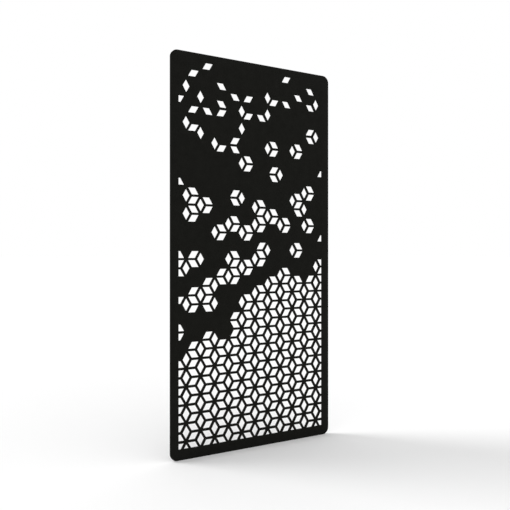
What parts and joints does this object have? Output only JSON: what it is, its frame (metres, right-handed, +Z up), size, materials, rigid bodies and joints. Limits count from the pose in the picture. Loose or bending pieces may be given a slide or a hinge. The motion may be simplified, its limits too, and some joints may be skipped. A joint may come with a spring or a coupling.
{
  "type": "hanging acoustic screen",
  "caption": "Felt board screen with rounded corners, cut through with a tumbling-block lattice that thins out upwards, hung from threaded sleeves in its top edge.",
  "frame": {"origin": "middle of the top edge, halfway through the board's thickness, midway between the two threaded sleeves it hangs from", "axes": "+X along the width to the viewer's right, -Y out of the front face, +Z up"},
  "size_m": [1.13, 0.012, 2.4],
  "materials": {
    "felt": "matte black pressed polyester felt",
    "sleeve_metal": "turned"
  },
  "bodies": {
    "root": {"felt_board": "felt", "hanging_sleeve_left": "sleeve_metal", "hanging_sleeve_right": "sleeve_metal"}
  },
  "joints": []
}
